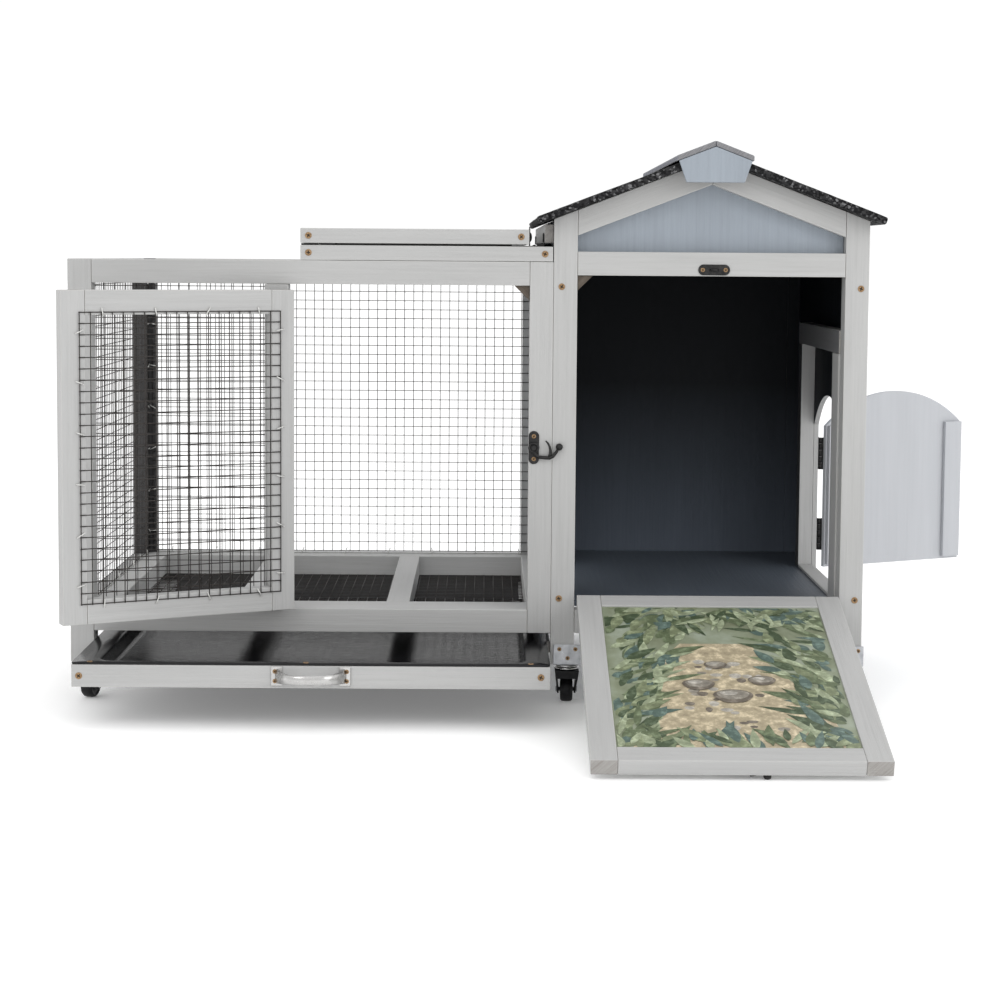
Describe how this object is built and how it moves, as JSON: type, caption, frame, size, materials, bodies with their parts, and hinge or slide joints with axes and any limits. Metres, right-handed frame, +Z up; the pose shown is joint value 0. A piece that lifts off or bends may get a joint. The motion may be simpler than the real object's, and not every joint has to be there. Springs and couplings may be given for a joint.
{
  "type": "rabbit hutch",
  "caption": "Wooden rabbit hutch on casters: wire mesh run with folding lid and pull-out tray, joined to a felt-roofed house with ramp door and arched side door.",
  "frame": {"origin": "middle of the whole object's footprint, doors open and tray drawn, on the ground under the casters", "axes": "+X from the run to the house, +Y from the front to the back, +Z up"},
  "size_m": [1.154, 0.9132, 0.6707],
  "materials": {
    "grey_painted_wood": "pale grey paint brushed over planed fir battens, grain just showing",
    "blue_grey_board": "blue-grey stain over grooved fir board",
    "dark_interior_board": "dark blue-grey paint on thin board",
    "pale_door_board": "pale blue-grey paint, satin",
    "printed_board": "printed picture of leaves and a path on thin board",
    "roofing_felt": "bitumen felt with dark mineral grit",
    "mesh_wire": "welded wire mesh with a thin dark coating",
    "tray_plastic": "thermoformed black plastic, glossy",
    "bright_chrome": "bright chrome plate",
    "wheel_plastic": "black moulded plastic",
    "black_hardware": "black coated steel"
  },
  "bodies": {
    "hutch": {"run_front_left_post": "grey_painted_wood", "run_front_right_post": "grey_painted_wood", "run_front_top_rail": "grey_painted_wood", "run_front_bottom_rail": "grey_painted_wood", "run_front_middle_post": "grey_painted_wood", "run_back_frame": "grey_painted_wood", "run_left_frame": "grey_painted_wood", "run_floor_frame": "grey_painted_wood", "run_floor_mesh": "mesh_wire", "run_back_mesh": "mesh_wire", "run_left_mesh": "mesh_wire", "run_front_mesh": "mesh_wire", "house_front_left_post": "grey_painted_wood", "house_front_right_post": "grey_painted_wood", "house_back_left_post": "grey_painted_wood", "house_back_right_post": "grey_painted_wood", "house_front_top_rail": "grey_painted_wood", "house_front_bottom_rail": "grey_painted_wood", "house_front_rafters": "grey_painted_wood", "house_gable_panel": "blue_grey_board", "house_back_panel": "dark_interior_board", "house_floor_panel": "dark_interior_board", "house_left_panel": "dark_interior_board", "house_right_panel": "blue_grey_board", "house_right_frame": "grey_painted_wood", "lid_hinge_board": "grey_painted_wood", "roof_left_panel": "roofing_felt", "roof_right_panel": "roofing_felt", "ridge_front_plate": "blue_grey_board", "ridge_cap": "grey_painted_wood", "run_latch_plate": "black_hardware", "tray_runner_frame": "dark_interior_board"},
    "mesh_door": {"mesh_door_frame": "grey_painted_wood", "mesh_door_mesh": "mesh_wire"},
    "drop_door": {"drop_door_frame": "grey_painted_wood", "drop_door_picture_panel": "printed_board", "drop_latch_plate": "black_hardware"},
    "drop_hook": {"drop_latch_hook": "black_hardware"},
    "run_hook": {"run_latch_hook": "black_hardware"},
    "side_door": {"side_door": "pale_door_board"},
    "lid_right": {"lid_right_frame": "grey_painted_wood", "lid_right_mesh": "mesh_wire"},
    "lid_left": {"lid_left_frame": "grey_painted_wood", "lid_left_mesh": "mesh_wire"},
    "tray": {"tray_front_panel": "grey_painted_wood", "tray_liner": "tray_plastic", "tray_handle": "bright_chrome"},
    "run_front_swivel_fork": {"run_front_caster_fork": "bright_chrome"},
    "run_front_wheel": {"run_front_caster_wheel": "wheel_plastic"},
    "run_back_swivel_fork": {"run_back_caster_fork": "bright_chrome"},
    "run_back_wheel": {"run_back_caster_wheel": "wheel_plastic"},
    "house_front_left_swivel_fork": {"house_front_left_caster_fork": "bright_chrome"},
    "house_front_left_wheel": {"house_front_left_caster_wheel": "wheel_plastic"},
    "house_back_left_swivel_fork": {"house_back_left_caster_fork": "bright_chrome"},
    "house_back_left_wheel": {"house_back_left_caster_wheel": "wheel_plastic"},
    "house_front_right_swivel_fork": {"house_front_right_caster_fork": "bright_chrome"},
    "house_front_right_wheel": {"house_front_right_caster_wheel": "wheel_plastic"},
    "house_back_right_swivel_fork": {"house_back_right_caster_fork": "bright_chrome"},
    "house_back_right_wheel": {"house_back_right_caster_wheel": "wheel_plastic"}
  },
  "joints": [
    {"name": "mesh_door_hinge", "type": "hinge", "parent": "hutch", "child": "mesh_door", "pos_m": [-0.31526, -0.07569, 0], "axis": [0, 0, 1], "range_deg": [-25, 152.5]},
    {"name": "drop_door_hinge", "type": "hinge", "parent": "hutch", "child": "drop_door", "pos_m": [-0.57701, -0.07569, 0.116], "axis": [-1, 0, 0], "range_deg": [0, 106.7]},
    {"name": "side_door_hinge", "type": "hinge", "parent": "hutch", "child": "side_door", "pos_m": [0.36749, 0.25731, 0], "axis": [0, 0, -1], "range_deg": [-25, 117]},
    {"name": "lid_right_hinge", "type": "hinge", "parent": "hutch", "child": "lid_right", "pos_m": [-0.00351, 0.18281, 0.54775], "axis": [0, 1, 0], "range_deg": [0, 9]},
    {"name": "lid_left_hinge", "type": "hinge", "parent": "lid_right", "child": "lid_left", "pos_m": [-0.30331, 0.18281, 0.54775], "axis": [0, -1, 0], "range_deg": [0, 180]},
    {"name": "tray_slide", "type": "slide", "parent": "hutch", "child": "tray", "axis": [0, -1, 0], "range_m": [-0.152, 0.2]},
    {"name": "run_hook_turn", "type": "hinge", "parent": "hutch", "child": "run_hook", "pos_m": [-0.02501, -0.07399, 0.3085], "axis": [0, -1, 0], "range_deg": [-95, 185]},
    {"name": "drop_hook_turn", "type": "hinge", "parent": "drop_door", "child": "drop_hook", "pos_m": [0.18349, -0.43249, 0.01073], "axis": [0, 0.2874, -0.9578], "range_deg": [-90, 90]},
    {"name": "run_front_caster_swivel", "type": "hinge", "parent": "hutch", "child": "run_front_swivel_fork", "pos_m": [-0.56001, -0.05669, 0], "axis": [0, 0, 1], "continuous": true},
    {"name": "run_front_wheel_spin", "type": "hinge", "parent": "run_front_swivel_fork", "child": "run_front_wheel", "pos_m": [-0.55794, -0.04896, 0.015], "axis": [0.9659, -0.2588, 0], "continuous": true},
    {"name": "run_back_caster_swivel", "type": "hinge", "parent": "hutch", "child": "run_back_swivel_fork", "pos_m": [-0.56301, 0.41931, 0], "axis": [0, 0, 1], "continuous": true},
    {"name": "run_back_wheel_spin", "type": "hinge", "parent": "run_back_swivel_fork", "child": "run_back_wheel", "pos_m": [-0.55901, 0.41238, 0.015], "axis": [-0.866, -0.5, 0], "continuous": true},
    {"name": "house_front_left_caster_swivel", "type": "hinge", "parent": "hutch", "child": "house_front_left_swivel_fork", "pos_m": [0.01699, -0.06569, 0], "axis": [0, 0, 1], "continuous": true},
    {"name": "house_front_left_wheel_spin", "type": "hinge", "parent": "house_front_left_swivel_fork", "child": "house_front_left_wheel", "pos_m": [0.01699, -0.05769, 0.015], "axis": [1, 0, 0], "continuous": true},
    {"name": "house_back_left_caster_swivel", "type": "hinge", "parent": "hutch", "child": "house_back_left_swivel_fork", "pos_m": [0.01699, 0.42531, 0], "axis": [0, 0, 1], "continuous": true},
    {"name": "house_back_left_wheel_spin", "type": "hinge", "parent": "house_back_left_swivel_fork", "child": "house_back_left_wheel", "pos_m": [0.01426, 0.4178, 0.015], "axis": [-0.9397, 0.342, 0], "continuous": true},
    {"name": "house_front_right_caster_swivel", "type": "hinge", "parent": "hutch", "child": "house_front_right_swivel_fork", "pos_m": [0.35599, -0.06569, 0], "axis": [0, 0, 1], "continuous": true},
    {"name": "house_front_right_wheel_spin", "type": "hinge", "parent": "house_front_right_swivel_fork", "child": "house_front_right_wheel", "pos_m": [0.35392, -0.05796, 0.015], "axis": [0.9659, 0.2588, 0], "continuous": true},
    {"name": "house_back_right_caster_swivel", "type": "hinge", "parent": "hutch", "child": "house_back_right_swivel_fork", "pos_m": [0.35599, 0.42531, 0], "axis": [0, 0, 1], "continuous": true},
    {"name": "house_back_right_wheel_spin", "type": "hinge", "parent": "house_back_right_swivel_fork", "child": "house_back_right_wheel", "pos_m": [0.35738, 0.41743, 0.015], "axis": [-0.9848, -0.1736, 0], "continuous": true}
  ]
}
